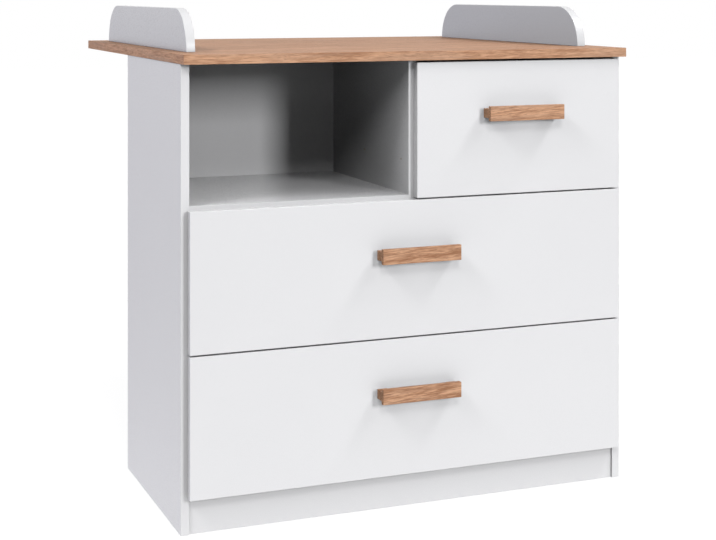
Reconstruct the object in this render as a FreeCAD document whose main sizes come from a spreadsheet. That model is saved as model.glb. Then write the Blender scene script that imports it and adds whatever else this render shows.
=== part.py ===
import FreeCAD, Part
import os
import re
import Sketcher
from FreeCAD import Placement, Rotation, Vector

# A changing dresser: an oak-look changing top with two guard rails on a white board carcass, which
# holds an open compartment and three drawers on ball runners.
#
# Frame: X to the right seen from the front, Y into the depth, Z up, millimetres. The origin lies on
# the floor, under the middle of the whole dresser's width and depth.

doc = FreeCAD.newDocument("ChangingDresser")
sheet = doc.addObject("Spreadsheet::Sheet", "Sizes")

DRIVING_SIZES = {
    # carcass boards
    "carcass_width": 924, "carcass_depth": 400, "carcass_height": 856, "board_thick": 16,
    "plinth_height": 65, "plinth_recess": 4,
    "back_thick": 3, "back_inset": 10, "back_groove_depth": 8, "back_end_play": 1, "groove_play": 0.2,
    # changing top and its guard rails
    "top_thick": 18, "top_depth": 800, "top_front_overhang": 25, "top_side_overhang": 1.5,
    "rail_length": 634, "rail_height": 82, "rail_thick": 18, "rail_corner_radius": 80,
    "rail_side_inset": 33.5, "rail_front_inset": 101,
    "rail_screw_dia": 4.5, "rail_screw_grip": 42, "rail_screw_head": 9, "rail_screw_margin": 90,
    "rail_screw_middle": 250, "rail_flat_min": 1,
    # drawer fronts
    "front_thick": 16, "front_gap": 3, "front_gap_top": 4.2, "front_reveal_low": 2,
    "side_reveal": 12, "divider_reveal": 10, "shelf_overlap": 5, "bumper_gap": 2,
    # drawer boxes
    "box_rise": 20, "box_height": 150, "box_back_clearance": 38.8, "box_side_thick": 12,
    "box_bottom_thick": 3, "box_groove_rise": 10, "box_groove_depth": 6, "box_bottom_play": 0.5,
    "box_fix_low": 25, "box_fix_high": 115,
    "box_screw_dia": 4, "box_screw_grip": 23, "box_screw_head": 7.5,
    "box_cam_dia": 12, "box_cam_deep": 10, "box_bolt_dia": 5, "box_bolt_reach": 18,
    # handles
    "handle_length": 163, "handle_height": 29, "handle_bar_thick": 9, "handle_drop": 100.5,
    "handle_foot_depth": 20, "handle_foot_height": 18, "handle_foot_width": 20,
    "handle_screw_dia": 4, "handle_screw_grip": 14, "handle_screw_head": 8,
    "handle_screw_head_thick": 2.6,
    # ball runners
    "runner_end_play": 2, "runner_thick": 12.5, "runner_rise": 70, "runner_setback": 2,
    "runner_height": 35, "runner_sheet": 1.2, "runner_reach": 10.5, "runner_lip": 1.7,
    "runner_overlap_play": 0.5, "ball_dia": 5.5, "ball_play": 0.4, "ball_pitch": 17, "ball_shift": 0.35,
    "cage_sheet": 0.5, "cage_play": 0.4, "cage_edge_inset": 0.6, "cage_length": 84, "cage_setback": 134,
    "runner_hole_front": 35, "runner_hole_rear": 215, "runner_screw_dia": 3.5,
    "runner_screw_head": 6.4, "runner_screw_grip": 11, "runner_hole_spare": 1.5, "runner_screw_tip": 4,
    # cam fittings and dowels of the carcass
    "cam_dia": 15, "cam_deep": 12.5, "cam_distance": 34, "bolt_dia": 7, "bolt_grip": 10,
    "fixing_front": 60, "fixing_rear": 330, "dowel_dia": 8, "dowel_length": 30,
    "dowel_grip": 10, "dowel_offset": 32, "plinth_dowel_low": 20, "plinth_dowel_high": 46,
}

# What follows from the driving sizes: places are in the dresser's own frame.
DERIVED_SIZES = {
    "half_width": "carcass_width / 2",
    "inner_half": "half_width - board_thick",
    "front_stand": "bumper_gap + front_thick",
    "handle_stand": "handle_bar_thick + handle_foot_depth",
    "overall_depth": "top_depth - top_front_overhang + front_stand + handle_stand",
    "front_plane": "front_stand + handle_stand - overall_depth / 2",
    "back_face": "front_plane + carcass_depth - back_inset - back_thick - groove_play",
    "inner_depth": "back_face - front_plane",
    "top_under": "carcass_height",
    "top_face": "carcass_height + top_thick",
    "front_low": "plinth_height + front_reveal_low",
    "front_height": "(carcass_height - front_low - front_gap_top - 2 * front_gap) / 3",
    "front_step": "front_height + front_gap",
    "shelf_face": "front_low + 2 * front_step + shelf_overlap",
    "bay_height": "carcass_height - shelf_face",
    "half_board": "board_thick / 2",
    "box_front": "front_plane - bumper_gap",
    "box_length": "back_face - box_back_clearance - box_front",
    "runner_length": "box_length - bumper_gap - runner_end_play",
    "ball_half": "runner_height / 2 - runner_sheet - ball_play - ball_dia / 2",
    "inner_runner_half": "ball_half - ball_dia / 2 - ball_play",
    "cage_web": "runner_sheet + cage_play",
    "ball_axis": "runner_reach - runner_sheet - ball_play - ball_dia / 2 + ball_shift",
}


def link(text):
    """Turns every name of the sheet in an expression into a reference to the sheet."""
    known = lambda word: "Sizes." + word.group() if word.group() in NAMES else word.group()
    return re.sub(r"[a-z][a-z_0-9]*", known, str(text))


NAMES = set(DRIVING_SIZES) | set(DERIVED_SIZES)
for row, (alias, value) in enumerate(DRIVING_SIZES.items(), start=1):
    sheet.set(f"A{row}", alias)
    sheet.set(f"B{row}", str(value))
    sheet.setAlias(f"B{row}", alias)
for row, (alias, formula) in enumerate(DERIVED_SIZES.items(), start=len(DRIVING_SIZES) + 2):
    sheet.set(f"A{row}", alias)
    sheet.set(f"B{row}", "=" + formula)
    sheet.setAlias(f"B{row}", alias)
doc.recompute()

TURNS = {
    "+X": Rotation(Vector(0, 0, 1), Vector(1, 0, 0)), "-X": Rotation(Vector(0, 0, 1), Vector(-1, 0, 0)),
    "+Y": Rotation(Vector(0, 0, 1), Vector(0, 1, 0)), "-Y": Rotation(Vector(0, 0, 1), Vector(0, -1, 0)),
    "+Z": Rotation(), "-Z": Rotation(Vector(0, 0, 1), Vector(0, 0, -1)),
}
SIDES = {"left": -1, "right": 1}
nodes = {}


# ---- building blocks -------------------------------------------------------------------------

def bind(piece, **formulas):
    """Binds properties of a piece to expressions of the sheet's names."""
    for name, text in formulas.items():
        piece.setExpression(name, link(text))
    return piece


def place(piece, at, turn=Rotation()):
    """Turns a piece and binds its place (x, y, z) to expressions."""
    piece.Placement = Placement(Vector(), turn)
    for axis, text in zip("xyz", at):
        piece.setExpression("Placement.Base." + axis, link(text))
    return piece


def block(name, size, at):
    """A rectangular block from its lowest corner."""
    piece = doc.addObject("Part::Box", name)
    bind(piece, Length=size[0], Width=size[1], Height=size[2])
    return place(piece, at)


def rod(name, dia, length, at, along):
    """A round rod or bore that starts at a point and runs along an axis."""
    piece = doc.addObject("Part::Cylinder", name)
    bind(piece, Radius=f"({dia}) / 2", Height=length)
    return place(piece, at, TURNS[along])


def cone(name, dia_start, dia_end, length, at, along):
    """A cone frustum that starts at a point and runs along an axis."""
    piece = doc.addObject("Part::Cone", name)
    bind(piece, Radius1=f"({dia_start}) / 2", Radius2=f"({dia_end}) / 2", Height=length)
    return place(piece, at, TURNS[along])


def together(name, pieces):
    """Several separate solids as one object."""
    group = doc.addObject("Part::Compound", name)
    group.Links = pieces
    return group


def joined(name, pieces):
    """Several touching solids as one."""
    union = doc.addObject("Part::MultiFuse", name)
    union.Shapes = pieces
    return union


def carved(name, base, tools):
    """A base less its tools."""
    result = doc.addObject("Part::Cut", name)
    result.Base = base
    result.Tool = tools[0] if len(tools) == 1 else together(name + "_tools", tools)
    return result


def node(name, piece):
    """Gives a finished piece its name in the assembly."""
    piece.Label = name
    nodes[name] = piece
    return piece


def shifted(at, axis, step):
    """A place moved along one axis by an expression, which the axis's sign turns round."""
    index = "XYZ".index(axis[1])
    moved = list(at)
    moved[index] = f"{at[index]} {axis[0]} ({step})"
    return tuple(moved)


def countersunk(name, dia, length, head_dia, head_deep, at, along):
    """A countersunk screw, or the hole that takes it: its head's flat face is at the place given."""
    shank = rod(name + "_shank", dia, length, at, along)
    head = cone(name + "_head", head_dia, dia, head_deep, at, along)
    return joined(name, [shank, head])


def origin_plane(body, role):
    """One of a body's own origin planes."""
    return next(item for item in body.Origin.OriginFeatures if item.Role == role)


def outline(body, name, role, corners):
    """A closed sketch of straight lines on an origin plane: each corner's two coordinates are
    bound to expressions."""
    sketch = body.newObject("Sketcher::SketchObject", name)
    sketch.AttachmentSupport = [(origin_plane(body, role), "")]
    sketch.MapMode = "FlatFace"
    values = [[measured(text) for text in corner] for corner in corners]
    count = len(corners)
    for index, (start_x, start_y) in enumerate(values):
        end_x, end_y = values[(index + 1) % count]
        sketch.addGeometry(Part.LineSegment(Vector(start_x, start_y), Vector(end_x, end_y)))
    for index in range(count):
        sketch.addConstraint(Sketcher.Constraint("Coincident", index, 2, (index + 1) % count, 1))
    for index, corner in enumerate(corners):
        for kind, value, text in zip(("DistanceX", "DistanceY"), values[index], corner):
            number = sketch.addConstraint(Sketcher.Constraint(kind, index, 1, value))
            sketch.setExpression(f"Constraints[{number}]", link(text))
    return sketch


def measured(text):
    """The present value of an expression of the sheet's names."""
    return float(sheet.evalExpression(re.sub(r"Sizes\.", "", link(text))))


def pad(body, name, sketch, length, reverse=False):
    """A pad of a sketch, its length bound to an expression."""
    feature = body.newObject("PartDesign::Pad", name)
    feature.Profile = sketch
    feature.Reversed = reverse
    bind(feature, Length=length)
    return feature


# ---- joints between carcass boards ------------------------------------------------------------
# Each list of bores below is cut from its board, and the fittings that fill them are kept for the
# groups at the end.

bores = {}
dowels, cam_bolts, cam_locks, rail_screws, runner_screws = [], [], [], [], []


def bore(board, tool):
    """Notes a tool that is cut from a board."""
    bores.setdefault(board, []).append(tool)


def finish_board(name, blank):
    """A board less all its bores and grooves."""
    return node(name, carved(name + "_board", blank, bores[name]) if name in bores else blank)


def dowel_joint(name, face_board, end_board, at, along):
    """A dowel across a joint: at the joint's plane, running along into the end board."""
    start = shifted(at, flipped(along), "dowel_grip")
    for board in (face_board, end_board):
        bore(board, rod(f"{name}_in_{board}", "dowel_dia", "dowel_length", start, along))
    dowels.append(rod(name, "dowel_dia", "dowel_length", start, along))


def cam_joint(name, face_board, end_board, at, along, cam_from, cam_along, cam_stand):
    """A cam fitting: a bolt from the face board into the end board, where a cam lock holds it.

    The cam's pocket opens at the end board's face, which lies cam_stand before the bolt's axis."""
    start = shifted(at, flipped(along), "bolt_grip")
    reach = "bolt_grip + cam_distance"
    for board in (face_board, end_board):
        bore(board, rod(f"{name}_in_{board}", "bolt_dia", reach, start, along))
    cam_place = shifted(shifted(at, along, "cam_distance"), cam_from, cam_stand)
    bore(end_board, rod(name + "_pocket", "cam_dia", "cam_deep", cam_place, cam_along))
    bolt = rod(name + "_bolt", "bolt_dia", reach, start, along)
    cam_bolts.append(bolt)
    lock = rod(name + "_drum", "cam_dia", "cam_deep", cam_place, cam_along)
    slot = rod(name + "_slot", "bolt_dia", reach, start, along)
    cam_locks.append(carved(name + "_lock", lock, [slot]))


def flipped(along):
    """The opposite direction."""
    return {"+": "-", "-": "+"}[along[0]] + along[1]


FIXINGS = {"front": "fixing_front", "rear": "fixing_rear"}

# Bottom panel and middle shelf: two cam fittings and two dowels at each end.
for side, sign in SIDES.items():
    inward = "+X" if sign < 0 else "-X"
    for board, under in (("bottom_panel", "plinth_height"), ("middle_shelf", "shelf_face - board_thick")):
        for where, distance in FIXINGS.items():
            spot = (f"{sign} * inner_half", f"front_plane + {distance}", f"{under} + half_board")
            cam_joint(f"{board}_{side}_{where}_cam", f"{side}_side_panel", board, spot, inward,
                      "-Z", "+Z", "half_board")
            toward = "+" if where == "front" else "-"
            dowel_joint(f"{board}_{side}_{where}_dowel", f"{side}_side_panel", board,
                        shifted(spot, toward + "Y", "dowel_offset"), inward)
    for level in ("low", "high"):
        spot = (f"{sign} * inner_half", "front_plane + plinth_recess + half_board", "plinth_dowel_" + level)
        dowel_joint(f"plinth_{side}_{level}_dowel", f"{side}_side_panel", "plinth_board", spot, inward)

# Changing top on the side panels and the divider: bolts in its underside, cams in the uprights.
UPRIGHTS = {"left_side_panel": ("-1 * (half_width - half_board)", "+X"),
            "divider_panel": ("0", "+X"),
            "right_side_panel": ("half_width - half_board", "-X")}
for board, (middle, cam_face) in UPRIGHTS.items():
    for where, distance in FIXINGS.items():
        spot = (middle, f"front_plane + {distance}", "top_under")
        cam_joint(f"top_{board}_{where}_cam", "changing_top", board, spot, "-Z",
                  cam_face, flipped(cam_face), "half_board")
        toward = "+" if where == "front" else "-"
        dowel_joint(f"top_{board}_{where}_dowel", "changing_top", board,
                    shifted(spot, toward + "Y", "dowel_offset"), "-Z")
for where, distance in FIXINGS.items():
    dowel_joint(f"divider_{where}_dowel", "middle_shelf", "divider_panel",
                ("0", f"front_plane + {distance}", "shelf_face"), "+Z")

# Guard rails: each stands on the top and is held by three screws from below.
for side, sign in SIDES.items():
    middle = f"{sign} * (half_width + top_side_overhang - rail_side_inset - rail_thick / 2)"
    rail_start = "front_plane - top_front_overhang + rail_front_inset"
    for index, distance in enumerate(("rail_screw_margin", "rail_screw_middle",
                                      "rail_length - rail_screw_margin")):
        screw = ("rail_screw_dia", "top_thick + rail_screw_grip", "rail_screw_head",
                 "(rail_screw_head - rail_screw_dia) / 2",
                 (middle, f"{rail_start} + {distance}", "top_under"), "+Z")
        for board in ("changing_top", f"{side}_guard_rail"):
            bore(board, countersunk(f"{side}_rail_bore_{index}_{board}", *screw))
        rail_screws.append(countersunk(f"{side}_rail_screw_{index}", *screw))

# ---- carcass boards ---------------------------------------------------------------------------

groove_wide = "back_thick + groove_play"
side_blanks = {}
for side, sign in SIDES.items():
    low_x = "-half_width" if sign < 0 else "inner_half"
    groove_x = "-inner_half - back_groove_depth" if sign < 0 else "inner_half"
    bore(f"{side}_side_panel", block(f"{side}_back_groove",
                                     ("back_groove_depth", groove_wide, "carcass_height"),
                                     (groove_x, "back_face", "0")))
    side_blanks[side] = block(f"{side}_side_blank", ("board_thick", "carcass_depth", "carcass_height"),
                              (low_x, "front_plane", "0"))

bottom_blank = block("bottom_blank", ("2 * inner_half", "inner_depth", "board_thick"),
                     ("-inner_half", "front_plane", "plinth_height"))
shelf_blank = block("shelf_blank", ("2 * inner_half", "inner_depth", "board_thick"),
                    ("-inner_half", "front_plane", "shelf_face - board_thick"))
divider_blank = block("divider_blank", ("board_thick", "inner_depth", "bay_height"),
                      ("-half_board", "front_plane", "shelf_face"))
plinth_blank = block("plinth_blank", ("2 * inner_half", "board_thick", "plinth_height"),
                     ("-inner_half", "front_plane + plinth_recess", "0"))
top_blank = block("top_blank", ("carcass_width + 2 * top_side_overhang", "top_depth", "top_thick"),
                  ("-half_width - top_side_overhang", "front_plane - top_front_overhang", "top_under"))
node("back_panel", block("back_board", ("2 * (inner_half + back_groove_depth - back_end_play)", "back_thick",
                                        "carcass_height - plinth_height"),
                         ("-inner_half - back_groove_depth + back_end_play", "back_face", "plinth_height")))


def guard_rail(side, sign):
    """A board with a large quarter round at each upper corner, stood on edge on the top."""
    body = doc.addObject("PartDesign::Body", f"{side}_rail_body")
    sketch = body.newObject("Sketcher::SketchObject", f"{side}_rail_outline")
    sketch.AttachmentSupport = [(origin_plane(body, "YZ_Plane"), "")]
    sketch.MapMode = "FlatFace"
    long, tall = measured("rail_length"), measured("rail_height")
    round_text = "min(rail_corner_radius; rail_height - rail_flat_min; rail_length / 2 - rail_flat_min)"
    radius = measured(round_text)
    points = [Vector(0, 0), Vector(long, 0), Vector(long, tall - radius), Vector(long - radius, tall),
              Vector(radius, tall), Vector(0, tall - radius)]
    half = 2 ** -0.5 * radius
    base = sketch.addGeometry(Part.LineSegment(points[0], points[1]))
    back = sketch.addGeometry(Part.LineSegment(points[1], points[2]))
    back_round = sketch.addGeometry(Part.Arc(
        points[2], Vector(long - radius + half, tall - radius + half), points[3]))
    crest = sketch.addGeometry(Part.LineSegment(points[3], points[4]))
    front_round = sketch.addGeometry(Part.Arc(
        points[4], Vector(radius - half, tall - radius + half), points[5]))
    front = sketch.addGeometry(Part.LineSegment(points[5], points[0]))
    rule = lambda *terms: sketch.addConstraint(Sketcher.Constraint(*terms))
    rule("Coincident", base, 1, -1, 1)
    rule("Coincident", base, 2, back, 1)
    rule("Coincident", front, 2, base, 1)
    # An arc always runs anticlockwise: each of these starts at its lower or right-hand end.
    rule("Tangent", back, 2, back_round, 1)
    rule("Tangent", back_round, 2, crest, 1)
    rule("Tangent", crest, 2, front_round, 1)
    rule("Tangent", front_round, 2, front, 1)
    rule("Horizontal", base)
    rule("Horizontal", crest)
    rule("Vertical", back)
    rule("Vertical", front)
    rule("Equal", back_round, front_round)
    for terms, text in ((("DistanceX", base, 1, base, 2, long), "rail_length"),
                        (("DistanceY", base, 1, crest, 1, tall), "rail_height"),
                        (("Radius", back_round, radius), round_text)):
        sketch.setExpression(f"Constraints[{rule(*terms)}]", link(text))
    pad(body, f"{side}_rail_pad", sketch, "rail_thick")
    outer = "half_width + top_side_overhang - rail_side_inset"
    low_x = f"-({outer})" if sign < 0 else f"{outer} - rail_thick"
    return place(body, (low_x, "front_plane - top_front_overhang + rail_front_inset", "top_face"))


# ---- ball runners -----------------------------------------------------------------------------
# Profiles lie across the runner: x from the cabinet's wall towards the drawer, z up from the
# runner's axis.

def channel(name, sketch_corners, length, wall_x, start_y, axis_z, mirrored):
    """A rolled profile, padded along the runner, facing right or, mirrored, facing left."""
    body = doc.addObject("PartDesign::Body", name)
    sketch = outline(body, name + "_section", "XZ_Plane", sketch_corners)
    pad(body, name + "_pad", sketch, length, reverse=True)
    turn = Rotation(Vector(0, 0, 1), 180) if mirrored else Rotation()
    origin_y = f"{start_y} + {length}" if mirrored else start_y
    return place(body, (wall_x, origin_y, axis_z), turn)


def cabinet_section():
    """A C section with its web on the cabinet's wall and lips that turn in behind the balls."""
    half, reach, sheet_t, lip = "runner_height / 2", "runner_reach", "runner_sheet", "runner_lip"
    upper = [("0", half), (reach, half), (reach, f"{half} - {sheet_t} - {lip}"),
             (f"{reach} - {sheet_t}", f"{half} - {sheet_t} - {lip}"),
             (f"{reach} - {sheet_t}", f"{half} - {sheet_t}"), (sheet_t, f"{half} - {sheet_t}")]
    return [(x, f"-({z})") for x, z in upper] + upper[::-1]


def drawer_section():
    """A C section with its web on the drawer's side and lips that turn out behind the balls."""
    half, web, sheet_t, lip = "inner_runner_half", "runner_thick", "runner_sheet", "runner_lip"
    tip = "runner_thick - runner_reach + runner_overlap_play"
    upper = [(web, half), (f"{tip} + {sheet_t}", half), (f"{tip} + {sheet_t}", f"{half} + {lip}"),
             (tip, f"{half} + {lip}"), (tip, f"{half} - {sheet_t}"),
             (f"{web} - {sheet_t}", f"{half} - {sheet_t}")]
    return upper + [(x, f"-({z})") for x, z in upper[::-1]]


def cage_section():
    """A thin U strip that carries both rows of balls and passes behind the drawer's member."""
    web, edge, half_t = "cage_web", "ball_axis + ball_dia / 2 - cage_edge_inset", "cage_sheet / 2"
    upper = [(web, f"ball_half + {half_t}"), (edge, f"ball_half + {half_t}"),
             (edge, f"ball_half - {half_t}"), (f"{web} + cage_sheet", f"ball_half - {half_t}")]
    return [(x, f"-({z})") for x, z in upper] + upper[::-1]


BALLS_IN_ROW = 5


def ball_cage(name, wall_x, start_y, axis_z, mirrored):
    """The cage with its two rows of balls, which are caught in it."""
    strip = channel(name + "_strip", cage_section(), "cage_length", wall_x, start_y, axis_z, mirrored)
    away = "-" if mirrored else "+"
    balls = []
    for row in (-1, 1):
        for index in range(BALLS_IN_ROW):
            ball = doc.addObject("Part::Sphere", f"{name}_ball")
            bind(ball, Radius="ball_dia / 2")
            offset = index - (BALLS_IN_ROW - 1) / 2
            balls.append(place(ball, (f"{wall_x} {away} ball_axis",
                                      f"{start_y} + cage_length / 2 + {offset} * ball_pitch",
                                      f"{axis_z} + {row} * ball_half"), TURNS["+Y"]))
    return joined(name + "_with_balls", [strip] + balls)


def runner_pair(drawer, side, wall_x, axis_z, wall_board, box_board, box_screws):
    """One side's cabinet member and drawer member, with their screws. Returns its ball cage."""
    mirrored = side == "right"
    across = "-X" if mirrored else "+X"
    start_y = "front_plane + runner_setback"
    cabinet = channel(f"{drawer}_{side}_cabinet_channel", cabinet_section(), "runner_length",
                      wall_x, start_y, axis_z, mirrored)
    sliding = channel(f"{drawer}_{side}_drawer_channel", drawer_section(), "runner_length",
                      wall_x, start_y, axis_z, mirrored)
    cabinet_bores, sliding_bores = [], []
    for where in ("front", "rear"):
        y = f"front_plane + runner_hole_{where}"
        stem = f"{drawer}_{side}_{where}"
        wall_face = shifted((wall_x, y, axis_z), across, "runner_sheet")
        screw = ("runner_screw_dia", "runner_sheet + runner_screw_grip", "runner_screw_head", "runner_sheet")
        cabinet_bores.append(countersunk(stem + "_wall_hole", *screw, wall_face, flipped(across)))
        runner_screws.append(countersunk(stem + "_wall_screw", *screw, wall_face, flipped(across)))
        # The divider is drilled right through, the side panels only as deep as the screws need.
        deep = "board_thick" if wall_board == "divider_panel" else "runner_screw_grip + runner_hole_spare"
        bore(wall_board, rod(stem + "_wall_bore", "runner_screw_dia", deep,
                             (wall_x, y, axis_z), flipped(across)))
        box_face = shifted((wall_x, y, axis_z), across, "runner_thick - runner_sheet")
        short = ("runner_screw_dia", "runner_sheet + box_side_thick - runner_screw_tip",
                 "runner_screw_head", "runner_sheet")
        sliding_bores.append(countersunk(stem + "_box_hole", *short, box_face, across))
        box_screws.append(countersunk(stem + "_box_screw", *short, box_face, across))
        bore(box_board, countersunk(stem + "_box_bore", *short, box_face, across))
    node(f"{drawer}_{side}_cabinet_runner", carved(f"{drawer}_{side}_cabinet_member", cabinet, cabinet_bores))
    node(f"{drawer}_{side}_drawer_runner", carved(f"{drawer}_{side}_drawer_member", sliding, sliding_bores))
    return ball_cage(f"{drawer}_{side}_cage", wall_x, "front_plane + cage_setback", axis_z, mirrored)


# ---- drawers ----------------------------------------------------------------------------------

def handle(drawer, middle_x, middle_z):
    """A wooden bar on two feet, bored from behind for its screws."""
    body = doc.addObject("PartDesign::Body", f"{drawer}_handle_body")
    bar = outline(body, f"{drawer}_bar_face", "XZ_Plane",
                  [(f"{x} * handle_length / 2", f"{z} * handle_height / 2")
                   for x, z in ((-1, -1), (1, -1), (1, 1), (-1, 1))])
    pad(body, f"{drawer}_bar", bar, "handle_bar_thick")
    for side, sign in SIDES.items():
        ends = ["handle_length / 2 - handle_foot_width", "handle_length / 2"]
        if sign < 0:
            ends = [f"-({end})" for end in ends[::-1]]
        foot = outline(body, f"{drawer}_{side}_foot_face", "XZ_Plane",
                       [(ends[x], f"{z} * handle_foot_height / 2")
                        for x, z in ((0, -1), (1, -1), (1, 1), (0, 1))])
        pad(body, f"{drawer}_{side}_foot", foot, "handle_foot_depth", reverse=True)
    return place(body, (middle_x, "front_plane - front_stand - handle_foot_depth", middle_z))


def drawer(name, front_x, front_low_z, front_wide, bay_x, bay_wide, wall_boards):
    """A drawer with its front, box, handle, fittings and ball runners.

    front_x and bay_x are the left ends of its front and of the bay that its box runs in."""
    front_name = f"{name}_front"
    middle_x = f"{front_x} + ({front_wide}) / 2"
    handle_z = f"{front_low_z} + front_height - handle_drop"
    axis_z = f"{front_low_z} + runner_rise"
    box_x = f"{bay_x} + runner_thick"
    box_wide = f"({bay_wide}) - 2 * runner_thick"
    box_low = f"{front_low_z} + box_rise"
    bottom_z = f"{box_low} + box_groove_rise"
    back_y = "box_front + box_length - box_side_thick"
    box_screws, fittings, runner_fixings, handle_screws, cages = [], [], [], [], []

    # Box sides, each grooved for the bottom, held to the front by cam fittings and to the back by screws.
    for side, sign in SIDES.items():
        board = f"{name}_{side}_side"
        inward = "+X" if sign < 0 else "-X"
        outer_x = box_x if sign < 0 else f"{box_x} + {box_wide}"
        low_x = box_x if sign < 0 else f"{outer_x} - box_side_thick"
        groove_x = (f"{low_x} + box_side_thick - box_groove_depth" if sign < 0 else low_x)
        bore(board, block(board + "_groove",
                          ("box_groove_depth", "box_length", "box_bottom_thick + groove_play"),
                          (groove_x, "box_front", bottom_z)))
        for level in ("low", "high"):
            stem = f"{board}_{level}"
            height = f"{box_low} + box_fix_{level}"
            screw = ("box_screw_dia", "box_side_thick + box_screw_grip", "box_screw_head",
                     "(box_screw_head - box_screw_dia) / 2",
                     (outer_x, f"{back_y} + box_side_thick / 2", height), inward)
            for target in (board, f"{name}_back"):
                bore(target, countersunk(f"{stem}_screw_bore_{target}", *screw))
            box_screws.append(countersunk(stem + "_screw", *screw))
            axis = shifted((outer_x, "box_front - bolt_grip", height), inward, "box_side_thick / 2")
            reach = "bolt_grip + box_bolt_reach"
            for target in (board, front_name):
                bore(target, rod(f"{stem}_bolt_bore_{target}", "box_bolt_dia", reach, axis, "+Y"))
            bolt = rod(stem + "_bolt", "box_bolt_dia", reach, axis, "+Y")
            pocket_at = shifted((outer_x, "box_front + box_bolt_reach", height), inward, "box_side_thick")
            bore(board, rod(stem + "_cam_pocket", "box_cam_dia", "box_cam_deep", pocket_at, flipped(inward)))
            drum = rod(stem + "_drum", "box_cam_dia", "box_cam_deep", pocket_at, flipped(inward))
            slot = rod(stem + "_slot", "box_bolt_dia", reach, axis, "+Y")
            fittings += [bolt, carved(stem + "_lock", drum, [slot])]
        cages.append(runner_pair(name, side, bay_x if sign < 0 else f"{bay_x} + {bay_wide}", axis_z,
                                 wall_boards[side], board, runner_fixings))
        blank = block(board + "_blank", ("box_side_thick", "box_length", "box_height"),
                      (low_x, "box_front", box_low))
        finish_board(board, blank)

    inner_x = f"{box_x} + box_side_thick"
    inner_wide = f"{box_wide} - 2 * box_side_thick"
    groove_floor = "(box_groove_depth - box_bottom_play)"
    bottom_top = f"{bottom_z} + box_bottom_thick"
    finish_board(f"{name}_back", block(
        f"{name}_back_blank", (inner_wide, "box_side_thick", "box_height - box_groove_rise - box_bottom_thick"),
        (inner_x, back_y, bottom_top)))
    node(f"{name}_bottom", block(
        f"{name}_bottom_board",
        (f"{inner_wide} + 2 * {groove_floor}", f"box_length + {groove_floor}", "box_bottom_thick"),
        (f"{inner_x} - {groove_floor}", f"box_front - {groove_floor}", bottom_z)))

    # Front, grooved for the bottom and bored for the handle's screws.
    bore(front_name, block(
        f"{front_name}_groove",
        (f"{inner_wide} + 2 * box_groove_depth", "box_groove_depth", "box_bottom_thick + groove_play"),
        (f"{inner_x} - box_groove_depth", "box_front - box_groove_depth", bottom_z)))
    handle_bores = []
    for side, sign in SIDES.items():
        x = f"{middle_x} + {sign} * (handle_length - handle_foot_width) / 2"
        shank = ("handle_screw_dia", "front_thick + handle_screw_grip", (x, "box_front", handle_z), "-Y")
        bore(front_name, rod(f"{name}_{side}_handle_bore", *shank))
        handle_bores.append(rod(f"{name}_{side}_foot_bore", *shank))
        head = rod(f"{name}_{side}_handle_screw_head", "handle_screw_head", "handle_screw_head_thick",
                   (x, "box_front", handle_z), "+Y")
        handle_screws.append(joined(f"{name}_{side}_handle_screw",
                                    [rod(f"{name}_{side}_handle_screw_shank", *shank), head]))
    node(f"{name}_handle", carved(f"{name}_handle_wood", handle(name, middle_x, handle_z), handle_bores))
    finish_board(front_name, block(f"{front_name}_blank", (front_wide, "front_thick", "front_height"),
                                   (front_x, "front_plane - front_stand", front_low_z)))
    node(f"{name}_ball_cages", together(f"{name}_ball_cage_pair", cages))
    node(f"{name}_handle_screws", together(f"{name}_handle_screw_pair", handle_screws))
    node(f"{name}_box_screws", together(f"{name}_box_screw_set", box_screws))
    node(f"{name}_cam_fittings", together(f"{name}_cam_fitting_set", fittings))
    node(f"{name}_runner_screws", together(f"{name}_runner_screw_set", runner_fixings))


SIDE_WALLS = {side: f"{side}_side_panel" for side in SIDES}
wide_front = "carcass_width - 2 * side_reveal"
for name, step in (("lower_drawer", 0), ("middle_drawer", 1)):
    drawer(name, "-half_width + side_reveal", f"front_low + {step} * front_step", wide_front,
           "-inner_half", "2 * inner_half", SIDE_WALLS)
drawer("upper_drawer", "divider_reveal - half_board", "front_low + 2 * front_step",
       "half_width - side_reveal - divider_reveal + half_board",
       "half_board", "inner_half - half_board",
       {"left": "divider_panel", "right": "right_side_panel"})

# ---- boards with all their bores, and the groups of fittings ------------------------------------

finish_board("changing_top", top_blank)
for side, sign in SIDES.items():
    finish_board(f"{side}_side_panel", side_blanks[side])
    finish_board(f"{side}_guard_rail", guard_rail(side, sign))
finish_board("bottom_panel", bottom_blank)
finish_board("middle_shelf", shelf_blank)
finish_board("divider_panel", divider_blank)
finish_board("plinth_board", plinth_blank)
node("rail_screws", together("rail_screw_set", rail_screws))
node("runner_screws", together("runner_screw_set", runner_screws))
node("carcass_dowels", together("dowel_set", dowels))
node("carcass_cam_fittings", together("cam_fitting_set", cam_bolts + cam_locks))

# ---- checks and export --------------------------------------------------------------------------

doc.recompute()
failed = [item.Name for item in doc.Objects if {"Invalid", "Error"} & set(item.State)]
broken = [name for name, piece in nodes.items()
          if piece.Shape.isNull() or not piece.Shape.isValid() or not piece.Shape.Solids]
if failed or broken:
    raise RuntimeError(f"failed features: {failed}; broken pieces: {broken}")

os.makedirs("parts", exist_ok=True)
for name, piece in nodes.items():
    piece.Shape.exportStep(f"parts/{name}.step")
    print(f"{name}: {len(piece.Shape.Solids)} solids, {piece.Shape.Volume / 1000:.1f} cm3")
print(f"{len(nodes)} nodes")
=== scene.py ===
import math

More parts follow.
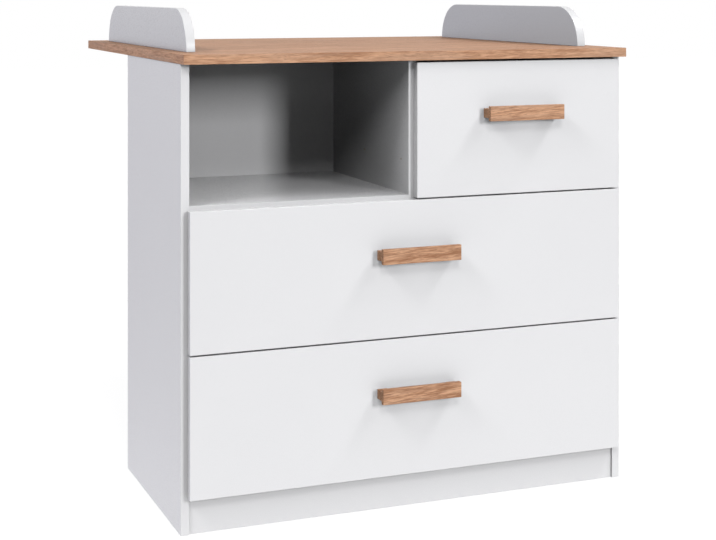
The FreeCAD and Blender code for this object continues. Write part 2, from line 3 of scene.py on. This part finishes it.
import bpy
import numpy as np
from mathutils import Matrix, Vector


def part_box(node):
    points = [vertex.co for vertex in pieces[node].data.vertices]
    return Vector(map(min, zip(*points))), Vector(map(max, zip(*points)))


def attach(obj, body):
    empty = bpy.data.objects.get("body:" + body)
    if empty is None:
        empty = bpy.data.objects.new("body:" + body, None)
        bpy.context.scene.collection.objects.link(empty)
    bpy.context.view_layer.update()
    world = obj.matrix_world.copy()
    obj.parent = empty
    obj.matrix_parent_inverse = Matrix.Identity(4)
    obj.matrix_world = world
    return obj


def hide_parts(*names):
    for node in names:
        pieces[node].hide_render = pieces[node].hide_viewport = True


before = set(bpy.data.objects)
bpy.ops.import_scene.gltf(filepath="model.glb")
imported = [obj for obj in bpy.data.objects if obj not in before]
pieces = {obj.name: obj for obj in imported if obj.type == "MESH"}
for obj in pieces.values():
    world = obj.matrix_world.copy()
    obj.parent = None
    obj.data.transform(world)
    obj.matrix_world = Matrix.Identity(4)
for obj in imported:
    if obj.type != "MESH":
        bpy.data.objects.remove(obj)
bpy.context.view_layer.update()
scene = bpy.context.scene

# ---- Camera --------------------------------------------------------------------------------------
# It stands at the height of the guard rails, to the left of the dresser's front. It looks level, so
# uprights stay upright, and the lens shift takes in the whole dresser.

PICTURE_WIDE, PICTURE_HIGH = 716, 540
FOCAL_PIXELS = 1446.29
AXIS_ACROSS, AXIS_DOWN = 295.17, -9.44
CAMERA_PLACE, CAMERA_BEARING = (-1.1816, -2.8939, 0.9895), 20.401

lens = bpy.data.cameras.new("catalogue_lens")
lens.sensor_width = 36
lens.lens = FOCAL_PIXELS / PICTURE_WIDE * lens.sensor_width
lens.shift_x = (PICTURE_WIDE / 2 - AXIS_ACROSS) / PICTURE_WIDE
lens.shift_y = (AXIS_DOWN - PICTURE_HIGH / 2) / PICTURE_WIDE
lens.clip_end = 60
camera = bpy.data.objects.new("catalogue_camera", lens)
camera.location = CAMERA_PLACE
camera.rotation_euler = (math.radians(90), 0, math.radians(-CAMERA_BEARING))
scene.collection.objects.link(camera)
scene.camera = camera

# ---- Studio --------------------------------------------------------------------------------------
# White floor and air. A soft key lamp stands at the front right, a higher fill lamp and a weak one
# at the front left, a wide panel at the left behind. Strips hang over the front, two on each side.

scene.view_settings.view_transform = "Standard"
# Boards don't light each other here, only lamps and the floor do. So the open compartment stays dark.
scene.cycles.diffuse_bounces = 0


def add_node(tree, kind, inputs=None, **settings):
    """Adds a shader node. Each input is given by name or number, as a value or as another socket."""
    node = tree.nodes.new("ShaderNode" + kind)
    for key, value in settings.items():
        setattr(node, key, value)
    for key, value in (inputs or {}).items():
        if isinstance(value, bpy.types.NodeSocket):
            tree.links.new(value, node.inputs[key])
        else:
            node.inputs[key].default_value = value
    return node


def seen_directly(tree):
    """1 for what the camera sees, straight on or by way of gloss or glass, and 0 for lighting."""
    path = add_node(tree, "LightPath").outputs
    gloss = add_node(tree, "Math", {0: path["Is Camera Ray"], 1: path["Is Glossy Ray"]},
                     operation="MAXIMUM").outputs[0]
    return add_node(tree, "Math", {0: gloss, 1: path["Is Transmission Ray"]},
                    operation="MAXIMUM").outputs[0]


def object_place(tree):
    """Object coordinates, in metres from the origin on the floor."""
    return add_node(tree, "TexCoord").outputs["Object"]


def ramp(tree, value, low, high, start=0.0, end=1.0):
    """A straight line from low where the value is start to high where it is end, and level beyond."""
    return add_node(tree, "MapRange", {0: value, 1: start, 2: end, 3: low, 4: high}).outputs[0]


def new_material(name):
    """An empty node material."""
    material = bpy.data.materials.new(name)
    material.use_nodes = True
    material.node_tree.nodes.clear()
    return material, material.node_tree


air = bpy.data.worlds.new("studio_air")
air.use_nodes = True
air.node_tree.nodes.clear()
soft_air = add_node(air.node_tree, "Background", {"Color": (1, 1, 1, 1), "Strength": 0.04})
white_air = add_node(air.node_tree, "Background", {"Color": (1, 1, 1, 1), "Strength": 1.0})
either = add_node(air.node_tree, "MixShader",
                  {0: seen_directly(air.node_tree), 1: soft_air.outputs[0], 2: white_air.outputs[0]})
add_node(air.node_tree, "OutputWorld", {"Surface": either.outputs[0]})
scene.world = air

# The floor lights the boards from a round pool before their foot and from a stretch at the left. The
# camera sees it as a pale glow with a faint shadow near the dresser, and plain white further off.
POOL_HEART, POOL_NEAR, POOL_FAR, WHITE_FROM = (0.25, -0.75, 0.0), 1.0, 1.8, 2.4
LEFT_FROM, LEFT_TO = -0.75, -0.45
POOL_LIGHT, LEFT_LIGHT = 0.58, 0.12
SHADE_TONE, GLOW_NEAR, GLOW_FAR = 0.45, 0.84, 1.02
floor_paint, floor_tree = new_material("floor_paint")
floor_place = object_place(floor_tree)
from_heart = add_node(floor_tree, "VectorMath", {0: floor_place, 1: POOL_HEART},
                      operation="DISTANCE").outputs["Value"]
floor_x = add_node(floor_tree, "SeparateXYZ", {0: floor_place}).outputs["X"]
pool = ramp(floor_tree, from_heart, POOL_LIGHT, 0.0, POOL_NEAR, POOL_FAR)
at_left = ramp(floor_tree, floor_x, LEFT_LIGHT, 0.0, LEFT_FROM, LEFT_TO)
shine = add_node(floor_tree, "Math", {0: pool, 1: at_left}, operation="ADD").outputs[0]
matt = add_node(floor_tree, "Emission", {"Color": (1, 1, 1, 1), "Strength": shine})
afar = ramp(floor_tree, from_heart, 0.0, 1.0, POOL_NEAR, WHITE_FROM)
shade = add_node(floor_tree, "BsdfDiffuse", {"Color": ramp(floor_tree, afar, SHADE_TONE, 0.0)})
glow = add_node(floor_tree, "Emission", {"Strength": ramp(floor_tree, afar, GLOW_NEAR, GLOW_FAR)})
pale = add_node(floor_tree, "AddShader", {0: shade.outputs[0], 1: glow.outputs[0]})
either = add_node(floor_tree, "MixShader",
                  {0: seen_directly(floor_tree), 1: matt.outputs[0], 2: pale.outputs[0]})
add_node(floor_tree, "OutputMaterial", {"Surface": either.outputs[0]})

FLOOR_HALF, FLOOR_TILES, FLOOR_LEVEL = 15.0, 20, -0.0005
ticks = np.linspace(-FLOOR_HALF, FLOOR_HALF, FLOOR_TILES + 1)
across, along = np.meshgrid(ticks, ticks)
floor_grid = np.stack([across.ravel(), along.ravel(), np.full(across.size, FLOOR_LEVEL)], axis=1)
first = (np.arange(FLOOR_TILES)[:, None] * (FLOOR_TILES + 1) + np.arange(FLOOR_TILES)).ravel()
tiles = np.stack([first, first + 1, first + FLOOR_TILES + 2, first + FLOOR_TILES + 1], axis=1)
floor_mesh = bpy.data.meshes.new("studio_floor")
floor_mesh.from_pydata(floor_grid.tolist(), [], tiles.tolist())
floor_mesh.materials.append(floor_paint)
floor = bpy.data.objects.new("studio_floor", floor_mesh)
scene.collection.objects.link(floor)


def area_lamp(name, power, wide, long, place, turn):
    """A flat rectangular lamp."""
    light = bpy.data.lights.new(name, "AREA")
    light.shape = "RECTANGLE"
    light.size, light.size_y, light.energy = wide, long, power
    lamp = bpy.data.objects.new(name, light)
    lamp.location, lamp.rotation_euler = place, turn
    scene.collection.objects.link(lamp)
    return lamp


# A bearing is in degrees round the dresser from straight in front, to the right, and a rise is in
# degrees above level.
LAMP_DISTANCE, LAMP_AIM = 6.0, Vector((-0.1, -0.38, 0.45))
for name, bearing, rise, wide, high, power, tint in (
        ("key_lamp", 20, 16, 0.94, 1.40, 127, (1, 1, 1)),
        ("fill_lamp", -14, 38.5, 1.25, 1.40, 85, (1, 1, 1)),
        ("camera_side_lamp", -20, 8, 1.40, 1.40, 8.5, (1, 1, 1)),
        ("left_panel_lamp", -125, 8, 3.20, 2.00, 65, (0.80, 0.77, 1.0))):
    round_z, up = math.radians(bearing), math.radians(rise)
    outward = Vector((math.sin(round_z) * math.cos(up), -math.cos(round_z) * math.cos(up), math.sin(up)))
    lamp = area_lamp(name, power, wide, high, LAMP_AIM + LAMP_DISTANCE * outward,
                     (-outward).to_track_quat("-Z", "Y").to_euler())
    lamp.data.color = tint

# A strip leans from overhead by so many degrees to the right, and runs forward from near to far
# ahead of the fronts.
STRIP_DISTANCE, STRIP_WIDE, STRIP_HEART, FRONT_Y = 4.5, 0.75, 0.45, -0.38
for name, lean, near, far, power in (
        ("right_near_strip", 34, 0.35, 1.6, 57),
        ("right_far_strip", 34, 1.6, 3.4, 34),
        ("left_near_strip", -43, 0.35, 1.6, 54),
        ("left_far_strip", -43, 1.6, 3.4, 30)):
    angle = math.radians(lean)
    place = (STRIP_DISTANCE * math.sin(angle), FRONT_Y - (near + far) / 2,
             STRIP_HEART + STRIP_DISTANCE * math.cos(angle))
    area_lamp(name, power, STRIP_WIDE, far - near, place, (0, angle, 0))

# ---- Carcass boards ------------------------------------------------------------------------------
# Chipboard with white melamine on both faces and a white band on the front edge. The other edges
# and the bores show the raw board.


def mixed(tree, factor, first, second):
    """A mix of two colours, each a colour or a socket."""
    node = add_node(tree, "Mix", {0: factor, 6: first, 7: second}, data_type="RGBA")
    return node.outputs[2]


def noise(tree, place, stretch, detail=2.0, distortion=0.0, shift=(0, 0, 0)):
    """Noise whose grains are 1 / stretch metres long on each axis."""
    mapped = add_node(tree, "Mapping", {"Vector": place, "Location": shift, "Scale": stretch})
    return add_node(tree, "TexNoise", {"Vector": mapped.outputs[0], "Scale": 1.0, "Detail": detail,
                                       "Distortion": distortion}).outputs[0]


PLANE_REACH = 0.00012


def on_planes(tree, place, planes):
    """1 on the planes named by axis and position, elsewhere 0."""
    axes = add_node(tree, "SeparateXYZ", {0: place}).outputs
    total = None
    for axis, position in planes:
        near = add_node(tree, "Math", {0: axes["XYZ".index(axis)], 1: position, 2: PLANE_REACH},
                        operation="COMPARE").outputs[0]
        total = near if total is None else add_node(tree, "Math", {0: total, 1: near},
                                                    operation="MAXIMUM").outputs[0]
    return total


def surface(tree, inputs):
    """Ends a material with a Principled shader that has these inputs."""
    shader = add_node(tree, "BsdfPrincipled", inputs)
    add_node(tree, "OutputMaterial", {"Surface": shader.outputs[0]})


MELAMINE = (0.868, 0.868, 0.884, 1)
MELAMINE_SHADE = (0.846, 0.846, 0.864, 1)


def melamine_look(tree, place, white=1.0):
    """White melamine's colour, roughness and relief: a faint cloudiness and a pearled surface. Its
    whiteness is a share of the usual one, and a share below 1 is painted shade."""
    cloud = noise(tree, place, (9, 9, 9), 3)
    pale, shade = ((*(white * part for part in tone[:3]), 1) for tone in (MELAMINE, MELAMINE_SHADE))
    colour = mixed(tree, cloud, pale, shade)
    pearl = noise(tree, place, (950, 950, 950), 1)
    return colour, ramp(tree, pearl, 0.24, 0.32), pearl


def chipboard_look(tree, place):
    """Raw chipboard's colour: pale and dark wood flakes a few millimetres long in brown glue."""
    flakes = add_node(tree, "TexVoronoi", {"Vector": place, "Scale": 420.0})
    tone = add_node(tree, "SeparateXYZ", {0: flakes.outputs["Color"]}).outputs[0]
    colour = mixed(tree, tone, (0.30, 0.19, 0.10, 1), (0.62, 0.47, 0.30, 1))
    return colour, flakes.outputs["Distance"]


BOARD_SOFT_EDGE = 0.0006


def coated_board(name, planes):
    """Melamine on the named planes and raw chipboard on all others. The edges are softened."""
    material, tree = new_material(name)
    place = object_place(tree)
    coat = on_planes(tree, place, planes)
    white, rough, pearl = melamine_look(tree, place)
    brown, relief = chipboard_look(tree, place)
    colour = mixed(tree, coat, brown, white)
    roughness = add_node(tree, "Mix", {0: coat, 2: 0.85, 3: rough}).outputs[0]
    height = add_node(tree, "Mix", {0: coat, 2: relief, 3: pearl}).outputs[0]
    depth = ramp(tree, coat, 0.35, 0.02)
    edge = add_node(tree, "Bevel", {"Radius": BOARD_SOFT_EDGE}, samples=4)
    bump = add_node(tree, "Bump", {"Strength": depth, "Distance": 0.0004, "Height": height,
                                   "Normal": edge.outputs[0]})
    surface(tree, {"Base Color": colour, "Roughness": roughness, "Normal": bump.outputs[0],
                   "IOR": 1.46, "Specular IOR Level": 0.5})
    return material


def dress(node, material):
    """Gives a CAD node its material."""
    piece = pieces[node]
    if not piece.material_slots:
        piece.data.materials.append(None)
    for spot in piece.material_slots:
        spot.link = "OBJECT"
        spot.material = material


def faces_of(node, sides):
    """Planes of a node's box: each side is an axis with - for its low end or + for its high end."""
    low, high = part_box(node)
    return [(side[0], (high if side[1] == "+" else low)["XYZ".index(side[0])]) for side in sides]


for node, sides in {
    "left_side_panel": ("X-", "X+", "Y-"), "right_side_panel": ("X-", "X+", "Y-"),
    "divider_panel": ("X-", "X+", "Y-"), "middle_shelf": ("Z-", "Z+", "Y-"),
    "bottom_panel": ("Z-", "Z+", "Y-"), "plinth_board": ("Y-", "Y+", "Z-"),
}.items():
    dress(node, coated_board(node + "_board", faces_of(node, sides)))

# ---- Back panel ----------------------------------------------------------------------------------
# Thin hardboard, white lacquered towards the compartment and raw brown behind. It slides in grooves.


def hardboard(name, white_planes):
    """White lacquer on the named planes, and brown pressed fibre with a fine screen mark elsewhere."""
    material, tree = new_material(name)
    place = object_place(tree)
    coat = on_planes(tree, place, white_planes)
    white, rough, pearl = melamine_look(tree, place)
    fibre = noise(tree, place, (260, 260, 260), 6, 0.8)
    brown = mixed(tree, fibre, (0.20, 0.115, 0.06, 1), (0.36, 0.22, 0.125, 1))
    colour = mixed(tree, coat, brown, white)
    roughness = add_node(tree, "Mix", {0: coat, 2: 0.72, 3: rough}).outputs[0]
    height = add_node(tree, "Mix", {0: coat, 2: fibre, 3: pearl}).outputs[0]
    depth = ramp(tree, coat, 0.25, 0.02)
    bump = add_node(tree, "Bump", {"Strength": depth, "Distance": 0.0004, "Height": height})
    surface(tree, {"Base Color": colour, "Roughness": roughness, "Normal": bump.outputs[0],
                   "IOR": 1.46, "Specular IOR Level": 0.5})
    return material


dress("back_panel", hardboard("back_hardboard", faces_of("back_panel", ("Y-",))))

# ---- Guard rails ---------------------------------------------------------------------------------
# Two boards that stand on edge on the changing top, their upper corners rounded to nearly their full
# height. The edge band runs round the curve, and its corners are softened. Their white is darkened
# a little: painted shade, which dims the light on their rounded front edges.


def rounded_outline(low, high, radii, steps):
    """A rectangle's outline with rounded corners, and the outward direction at each point.

    Corner k's arc is centre_k + radius_k (cos t, sin t), with t over its own quarter turn; the
    straight sides are the steps from one arc's end to the next one's start. radii go anticlockwise
    from the upper right corner."""
    low, high = np.asarray(low, float), np.asarray(high, float)
    radii = np.asarray(radii, float)
    corners = np.array([(high[0], high[1]), (low[0], high[1]), (low[0], low[1]), (high[0], low[1])])
    inward = np.array([(-1, -1), (1, -1), (1, 1), (-1, 1)])
    centres = corners + inward * radii[:, None]
    turn = np.linspace(0, math.pi / 2, steps + 1)[None, :] + np.arange(4)[:, None] * math.pi / 2
    outward = np.stack([np.cos(turn), np.sin(turn)], axis=2)
    points = centres[:, None, :] + radii[:, None, None] * outward
    return points.reshape(-1, 2), outward.reshape(-1, 2)


def soft_plate(points, outward, back, front, radius, steps):
    """A plate with softened edges, as grid points, directions, edge quads and the two flat faces.

    A half circle's profile is carried round the outline: at angle t from -90 to 90 degrees it lies
    radius (cos t - 1) out from the outline and radius sin t across the plate. Its two zero points
    are the edge's flat, and its first and last rings bound the plate's flat faces."""
    quarter = np.linspace(0, math.pi / 2, steps + 1)
    angle = np.concatenate([-quarter[::-1], quarter])
    level = np.concatenate([np.full(steps + 1, back + radius), np.full(steps + 1, front - radius)])
    reach = radius * (np.cos(angle) - 1)
    flat = points[None, :, :] + reach[:, None, None] * outward[None, :, :]
    depth = np.broadcast_to((level + radius * np.sin(angle))[:, None], flat.shape[:2])
    grid = np.concatenate([flat, depth[:, :, None]], axis=2)
    lean = np.concatenate([np.cos(angle)[:, None, None] * outward[None, :, :],
                           np.broadcast_to(np.sin(angle)[:, None, None], flat.shape[:2] + (1,))], axis=2)
    rows, columns = flat.shape[:2]
    ring = np.arange(columns)
    ahead = np.roll(ring, -1)
    start = np.arange(rows - 1)[:, None] * columns
    quads = np.stack([start + ring, start + ahead, start + columns + ahead, start + columns + ring],
                     axis=2)
    caps = np.stack([ring[::-1], ring + (rows - 1) * columns])
    return grid.reshape(-1, 3), lean.reshape(-1, 3), quads.reshape(-1, 4), caps


def turned(grid, order):
    """Renames a plate's own axes to the dresser's: order says where its x, y and depth go."""
    out = np.empty_like(grid)
    for own, axis in enumerate(order):
        out[:, "XYZ".index(axis)] = grid[:, own]
    return out


def shell(name, plates, order, material):
    """One mesh of several soft plates, smooth with the directions worked out for each point."""
    points, leans, faces, count = [], [], [], 0
    handed = np.linalg.det(np.eye(3)[["XYZ".index(axis) for axis in order]])
    step = -1 if handed < 0 else 1
    for grid, lean, quads, caps in plates:
        points.append(turned(grid, order))
        leans.append(turned(lean, order))
        faces += (quads[:, ::step] + count).tolist() + (caps[:, ::step] + count).tolist()
        count += len(grid)
    mesh = bpy.data.meshes.new(name)
    mesh.from_pydata(np.concatenate(points).tolist(), [], faces)
    mesh.polygons.foreach_set("use_smooth", np.ones(len(faces), bool))
    exact = mesh.attributes.new("custom_normal", "FLOAT_VECTOR", "POINT")
    exact.data.foreach_set("vector", np.concatenate(leans).astype(np.float32).ravel())
    mesh.materials.append(material)
    piece = bpy.data.objects.new(name, mesh)
    scene.collection.objects.link(piece)
    return piece


def white_coat(name, white=1.0):
    """Melamine all over, for boards whose every edge is banded."""
    material, tree = new_material(name)
    place = object_place(tree)
    colour, rough, pearl = melamine_look(tree, place, white)
    bump = add_node(tree, "Bump", {"Strength": 0.02, "Distance": 0.0004, "Height": pearl})
    surface(tree, {"Base Color": colour, "Roughness": rough, "Normal": bump.outputs[0],
                   "IOR": 1.46, "Specular IOR Level": 0.5})
    return material


RAIL_ROUND, RAIL_FOOT, RAIL_EDGE, RAIL_STEPS, EDGE_STEPS = 0.080, 0.0012, 0.0012, 24, 4
# The rails' white is lowered to this share: painted shade for their rounded edges, which catch too much
# light.
RAIL_SHADED_WHITE = 0.90
rail_shaded_white = white_coat("rail_shaded_melamine", RAIL_SHADED_WHITE)
for side in ("left", "right"):
    low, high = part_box(f"{side}_guard_rail")
    radii = (RAIL_ROUND, RAIL_ROUND, RAIL_FOOT, RAIL_FOOT)
    outline = rounded_outline(low.yz, high.yz, radii, RAIL_STEPS)
    plate = soft_plate(*outline, low.x, high.x, RAIL_EDGE, EDGE_STEPS)
    rail = shell(f"{side}_rail_board", [plate], "YZX", rail_shaded_white)
    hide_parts(f"{side}_guard_rail")
    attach(rail, "dresser")

# ---- Changing top --------------------------------------------------------------------------------
# Chipboard with an oak decor on both faces and four glued-on bands of the same decor, whose grain
# runs along each edge. Screws from below hold the guard rails on it.


OAK_PALE, OAK_BROWN = (0.700, 0.405, 0.250, 1), (0.375, 0.180, 0.095, 1)
OAK_GREY, OAK_PORE = (0.520, 0.345, 0.250, 1), (0.200, 0.095, 0.052, 1)


def oak_decor(name, along, shift, tilt=0.0, palest=2.02, darkest=2.78):
    """Printed oak. Its brown is a weighted sum of noises stretched along the grain, from bands a few
    centimetres wide to streaks and fibres of a few millimetres, with short dark pores over it."""
    material, tree = new_material(name)
    place = object_place(tree)
    quarter = math.pi / 2 if along == "Y" else 0.0
    lying = add_node(tree, "Mapping", {"Vector": place, "Location": shift,
                                       "Rotation": (0, tilt, quarter)}).outputs[0]
    tone = 0.0
    for stretch, detail, distortion, offset, share in (
            ((2.2, 34, 34), 2, 0.8, (0.4, 2.2, 6.1), 0.9),
            ((9, 120, 120), 3, 1.4, (3.1, 1.7, 0.4), 1.3),
            ((22, 330, 330), 3, 0.6, (5.2, 4.9, 1.8), 1.5),
            ((60, 900, 900), 2, 0.2, (7.7, 2.3, 5.1), 1.1)):
        grain = noise(tree, lying, stretch, detail, distortion, offset)
        tone = add_node(tree, "Math", {0: grain, 1: share, 2: tone},
                        operation="MULTIPLY_ADD").outputs[0]
    warm = mixed(tree, ramp(tree, tone, 0.0, 1.0, palest, darkest), OAK_PALE, OAK_BROWN)
    cool = noise(tree, lying, (5, 60, 60), 2, 0.5, (8.3, 0.9, 2.7))
    greyed = mixed(tree, ramp(tree, cool, 0.0, 0.5, 0.50, 0.75), warm, OAK_GREY)
    pore = noise(tree, lying, (75, 1500, 1500), 2, 0.0, (1.3, 9.2, 4.4))
    colour = mixed(tree, ramp(tree, pore, 0.0, 0.7, 0.60, 0.68), greyed, OAK_PORE)
    bump = add_node(tree, "Bump", {"Strength": 0.12, "Distance": 0.0003, "Height": grain})
    surface(tree, {"Base Color": colour, "Roughness": ramp(tree, grain, 0.50, 0.64),
                   "Normal": bump.outputs[0], "IOR": 1.46, "Specular IOR Level": 0.25})
    return material


# The underside is lifted a little, so that it isn't in one plane with the carcass's upper edges.
BAND, BAND_SOFT, BAND_STEPS = 0.0008, 0.00035, 3
CORE_SOFT, CORE_STEPS, UNDER_LIFT = 0.0001, 2, 0.00015
low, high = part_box("changing_top")
core = rounded_outline((low.x + BAND, low.y + BAND), (high.x - BAND, high.y - BAND),
                       [CORE_SOFT] * 4, CORE_STEPS)
plate = soft_plate(*core, low.z + UNDER_LIFT, high.z, CORE_SOFT, CORE_STEPS)
top = shell("top_board", [plate], "XYZ", oak_decor("top_oak", "X", (0.0, 0.0, 0.0)))
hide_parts("changing_top")
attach(top, "dresser")
long_oak = oak_decor("front_band_oak", "X", (0.31, 0.02, 0.0))
short_oak = oak_decor("end_band_oak", "Y", (0.11, 0.27, 0.0))
for name, order, start, end, near, far, decor in (
        ("top_front_band", "XZY", low.x, high.x, low.y, low.y + BAND, long_oak),
        ("top_back_band", "XZY", low.x, high.x, high.y - BAND, high.y, long_oak),
        ("top_left_band", "YZX", low.y + BAND, high.y - BAND, low.x, low.x + BAND, short_oak),
        ("top_right_band", "YZX", low.y + BAND, high.y - BAND, high.x - BAND, high.x, short_oak)):
    strip = rounded_outline((start, low.z), (end, high.z), [BAND_SOFT] * 4, BAND_STEPS)
    band = shell(name, [soft_plate(*strip, near, far, BAND_SOFT, BAND_STEPS)], order, decor)
    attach(band, "dresser")

# ---- Drawer fronts -------------------------------------------------------------------------------
# White boards banded on all four edges, screwed and cammed to the drawer boxes behind them. The
# handle's two screws come through from behind.

FRONT_EDGE = 0.0008
front_white = white_coat("front_melamine")
for drawer in ("lower_drawer", "middle_drawer", "upper_drawer"):
    low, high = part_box(f"{drawer}_front")
    outline = rounded_outline(low.xz, high.xz, [FRONT_EDGE] * 4, EDGE_STEPS)
    plate = soft_plate(*outline, low.y, high.y, FRONT_EDGE, EDGE_STEPS)
    front = shell(f"{drawer}_front_board", [plate], "XZY", front_white)
    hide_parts(f"{drawer}_front")
    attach(front, drawer)

# ---- Handles -------------------------------------------------------------------------------------
# Oak bars on two feet, which are flush with the bar's ends and lower than it. Each handle is cut
# from its own length of wood, so the grain differs.

FOOT_WIDE, FOOT_HIGH, BAR_THICK, FOOT_SINK = 0.020, 0.018, 0.009, 0.001
BAR_EDGE, FOOT_EDGE = 0.0008, 0.0002
GRAIN_TILT, HANDLE_PALEST, HANDLE_DARKEST = 0.05, 2.10, 2.64
for index, drawer in enumerate(("lower_drawer", "middle_drawer", "upper_drawer")):
    low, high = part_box(f"{drawer}_handle")
    middle = (low.z + high.z) / 2
    bar = rounded_outline(low.xz, high.xz, [BAR_EDGE] * 4, EDGE_STEPS)
    plates = [soft_plate(*bar, low.y, low.y + BAR_THICK, BAR_EDGE, EDGE_STEPS)]
    for start in (low.x, high.x - FOOT_WIDE):
        foot = rounded_outline((start, middle - FOOT_HIGH / 2),
                               (start + FOOT_WIDE, middle + FOOT_HIGH / 2), [BAR_EDGE] * 4, EDGE_STEPS)
        plates.append(soft_plate(*foot, low.y + BAR_THICK - FOOT_SINK, high.y, FOOT_EDGE, EDGE_STEPS))
    oak = oak_decor(f"{drawer}_handle_oak", "X", (0.7 + 1.3 * index, 0.2, 0.4 * index),
                    GRAIN_TILT, HANDLE_PALEST, HANDLE_DARKEST)
    handle = shell(f"{drawer}_handle_bar", plates, "XZY", oak)
    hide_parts(f"{drawer}_handle")
    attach(handle, drawer)

# ---- Drawer boxes --------------------------------------------------------------------------------
# Thin white foiled boards, raw only at their ends and grooves, round a white hardboard bottom.

for drawer in ("lower_drawer", "middle_drawer", "upper_drawer"):
    for part, sides in (("left_side", ("X-", "X+", "Z+", "Z-")),
                        ("right_side", ("X-", "X+", "Z+", "Z-")),
                        ("back", ("Y-", "Y+", "Z+"))):
        node = f"{drawer}_{part}"
        dress(node, coated_board(f"{node}_foil", faces_of(node, sides)))
    bottom = f"{drawer}_bottom"
    dress(bottom, hardboard(f"{bottom}_board", faces_of(bottom, ("Z+",))))

# ---- Ball runners and fittings -------------------------------------------------------------------
# Runners and screws are zinc-plated steel, the runners faintly brushed along their length. Cam bolts
# and drums are die-cast.


def plated_metal(name, colour, dull, roughness, stretch):
    """Plated metal: slow stains in the plating, and fine lines or grains 1 / stretch metres long."""
    material, tree = new_material(name)
    place = object_place(tree)
    stain = noise(tree, place, (35, 35, 35), 4)
    line = noise(tree, place, stretch, 2)
    tint = mixed(tree, stain, colour, dull)
    rough = ramp(tree, line, roughness - 0.07, roughness + 0.09)
    bump = add_node(tree, "Bump", {"Strength": 0.06, "Distance": 0.0002, "Height": line})
    surface(tree, {"Base Color": tint, "Metallic": 1.0, "Roughness": rough, "Normal": bump.outputs[0]})
    return material


runner_steel = plated_metal("runner_zinc", (0.74, 0.75, 0.77, 1), (0.64, 0.655, 0.68, 1), 0.30,
                            (900, 14, 900))
screw_steel = plated_metal("screw_zinc", (0.76, 0.77, 0.79, 1), (0.66, 0.67, 0.70, 1), 0.26,
                           (600, 600, 600))
cam_metal = plated_metal("cam_die_cast", (0.62, 0.63, 0.64, 1), (0.50, 0.51, 0.52, 1), 0.42,
                         (500, 500, 500))

for node in pieces:
    if node.endswith(("_runner", "_ball_cages")):
        dress(node, runner_steel)
    elif node.endswith("screws"):
        dress(node, screw_steel)
    elif node.endswith("cam_fittings"):
        dress(node, cam_metal)

# ---- Dowels --------------------------------------------------------------------------------------
# Beech pegs in the carcass joints, glued in one board and pushed into the other.

beech, tree = new_material("dowel_beech")
place = object_place(tree)
grain = noise(tree, place, (40, 700, 700), 3)
ray_fleck = noise(tree, place, (180, 1400, 1400), 1)
body = mixed(tree, grain, (0.66, 0.47, 0.29, 1), (0.55, 0.37, 0.215, 1))
fleck = ramp(tree, ray_fleck, 0.0, 0.5, 0.6, 0.7)
surface(tree, {"Base Color": mixed(tree, fleck, body, (0.40, 0.25, 0.14, 1)), "Roughness": 0.62})
dress("carcass_dowels", beech)
